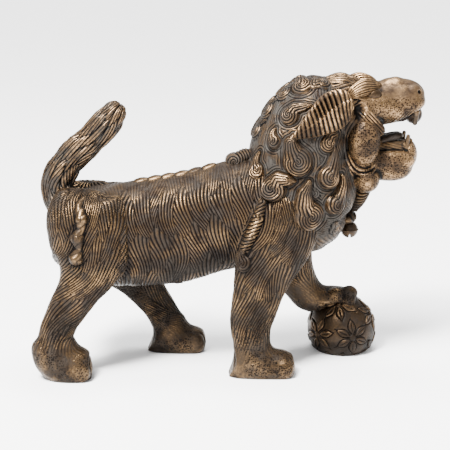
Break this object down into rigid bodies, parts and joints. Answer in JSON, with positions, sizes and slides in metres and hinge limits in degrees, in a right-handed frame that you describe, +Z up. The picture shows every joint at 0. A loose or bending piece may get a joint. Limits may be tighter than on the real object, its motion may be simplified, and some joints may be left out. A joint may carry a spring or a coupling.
{
  "type": "guardian lion figurine",
  "caption": "Striding guardian lion in patinated cast bronze, head raised and mouth open, a raised forepaw on a brocade ball, curled mane and upright tail.",
  "frame": {"origin": "middle of the footprint's bounding box, on the ground plane", "axes": "+X towards the head, +Z up, the lion's right side towards -Y"},
  "size_m": [0.4268, 0.1428, 0.3217],
  "materials": {
    "bronze_brown": "brown bronze patina, rubbed to a satin gold on the high places",
    "bronze_grey": "dusty grey-brown patina with warm highlights",
    "bronze_gold": "warm rubbed bronze, satin",
    "bronze_dark": "dark oxidised bronze",
    "bronze_ball": "dark brown patina over engraved petals",
    "fixing_steel": "plain steel, out of sight"
  },
  "bodies": {
    "root": {"ball_pin": "fixing_steel", "barrel": "bronze_brown", "bell": "bronze_dark", "belly_plate": "bronze_brown", "belly_screw_1": "fixing_steel", "belly_screw_2": "fixing_steel", "belly_screw_3": "fixing_steel", "belly_screw_4": "fixing_steel", "breast_curl_left": "bronze_grey", "breast_curl_right": "bronze_grey", "brocade_ball": "bronze_ball", "brow_left": "bronze_gold", "brow_right": "bronze_gold", "cheek_left": "bronze_gold", "cheek_right": "bronze_gold", "chest_curl_left": "bronze_grey", "chest_curl_right": "bronze_grey", "chest_knot": "bronze_brown", "collar_curl_left": "bronze_grey", "collar_curl_right": "bronze_grey", "crown_curl_left": "bronze_grey", "crown_curl_right": "bronze_grey", "ear_left": "bronze_gold", "ear_right": "bronze_gold", "eye_left": "bronze_dark", "eye_right": "bronze_dark", "foreleg_bolt_left": "fixing_steel", "foreleg_bolt_right": "fixing_steel", "foreleg_left": "bronze_brown", "foreleg_right": "bronze_brown", "head": "bronze_gold", "hind_leg_bolt_left": "fixing_steel", "hind_leg_bolt_right": "fixing_steel", "hind_leg_left": "bronze_brown", "hind_leg_right": "bronze_brown", "lower_fang_left": "bronze_grey", "lower_fang_right": "bronze_grey", "lower_jaw": "bronze_gold", "mane": "bronze_grey", "nape_curl_left": "bronze_grey", "nape_curl_right": "bronze_grey", "neck_curl_left": "bronze_grey", "neck_curl_right": "bronze_grey", "shoulder_curl_left": "bronze_grey", "shoulder_curl_right": "bronze_grey", "side_curl_left": "bronze_grey", "side_curl_right": "bronze_grey", "spine_crest": "bronze_brown", "spine_curl": "bronze_grey", "tail": "bronze_grey", "tail_bolt": "fixing_steel", "temple_curl_left": "bronze_grey", "temple_curl_right": "bronze_grey", "throat_beard": "bronze_brown", "throat_curl_left": "bronze_grey", "throat_curl_right": "bronze_grey", "tongue": "bronze_dark", "upper_fang_left": "bronze_grey", "upper_fang_right": "bronze_grey"}
  },
  "joints": []
}
